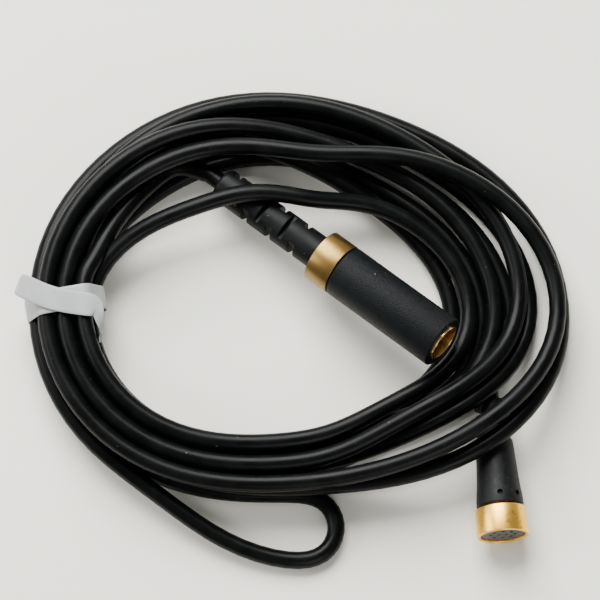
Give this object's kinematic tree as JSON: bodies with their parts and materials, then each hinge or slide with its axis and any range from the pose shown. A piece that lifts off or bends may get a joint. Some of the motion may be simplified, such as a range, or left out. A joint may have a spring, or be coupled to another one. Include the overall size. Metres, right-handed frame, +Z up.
{
  "type": "shutter release extension cable",
  "caption": "Coiled extension cable for an electronic shutter release: straight camera plug with a turning gold lock collar, in-line socket with gold ring, long round cord, flat white tie.",
  "frame": {"origin": "on the floor, at the middle of the box round the plug, the socket and the tie, all of them lying as the coiled cable lies", "axes": "+Z up from the floor the coil lies on, +X along the coil's long way from the tie towards the socket's mouth, +Y from the plug's end towards the far side of the coil"},
  "size_m": [0.1338, 0.1175, 0.0239],
  "materials": {
    "cord_jacket": "smooth dark jacket with a soft sheen",
    "moulding": "spark-eroded matt moulding",
    "ring": "satin gold anodised",
    "collar": "gold plated, worn",
    "contacts": "gold plated",
    "insulator": "matt",
    "filler": "cast resin",
    "tie": "translucent white plastic strip"
  },
  "bodies": {
    "cable": {"cord_coil": "cord_jacket", "socket_lead": "cord_jacket", "plug_lead": "cord_jacket", "plug_strain_relief": "moulding", "plug_body": "moulding", "plug_core": "contacts", "plug_insulator": "insulator", "plug_cord_end": "cord_jacket", "plug_crimp_ferrule": "contacts", "plug_filler": "filler", "plug_wires": "contacts", "plug_contact_1": "contacts", "plug_contact_2": "contacts", "plug_contact_3": "contacts", "plug_contact_4": "contacts", "plug_contact_5": "contacts", "plug_contact_6": "contacts", "plug_contact_7": "contacts", "plug_contact_8": "contacts", "plug_contact_9": "contacts", "plug_contact_10": "contacts", "socket_strain_relief": "moulding", "socket_ring": "ring", "socket_body": "moulding", "socket_sleeve": "contacts", "socket_clip": "contacts", "socket_insulator": "insulator", "socket_cord_end": "cord_jacket", "socket_crimp_ferrule": "contacts", "socket_filler": "filler", "socket_wires": "contacts", "socket_pin_1": "contacts", "socket_pin_2": "contacts", "socket_pin_3": "contacts", "socket_pin_4": "contacts", "socket_pin_5": "contacts", "socket_pin_6": "contacts", "socket_pin_7": "contacts", "socket_pin_8": "contacts", "socket_pin_9": "contacts", "socket_pin_10": "contacts", "tie_strap": "tie", "tie_tail": "tie"},
    "collar": {"lock_collar": "collar"}
  },
  "joints": [
    {"name": "collar_turn", "type": "hinge", "parent": "cable", "child": "collar", "pos_m": [0.05502, -0.04102, 0.00666], "axis": [0.08, -0.994, 0.075], "continuous": true}
  ]
}
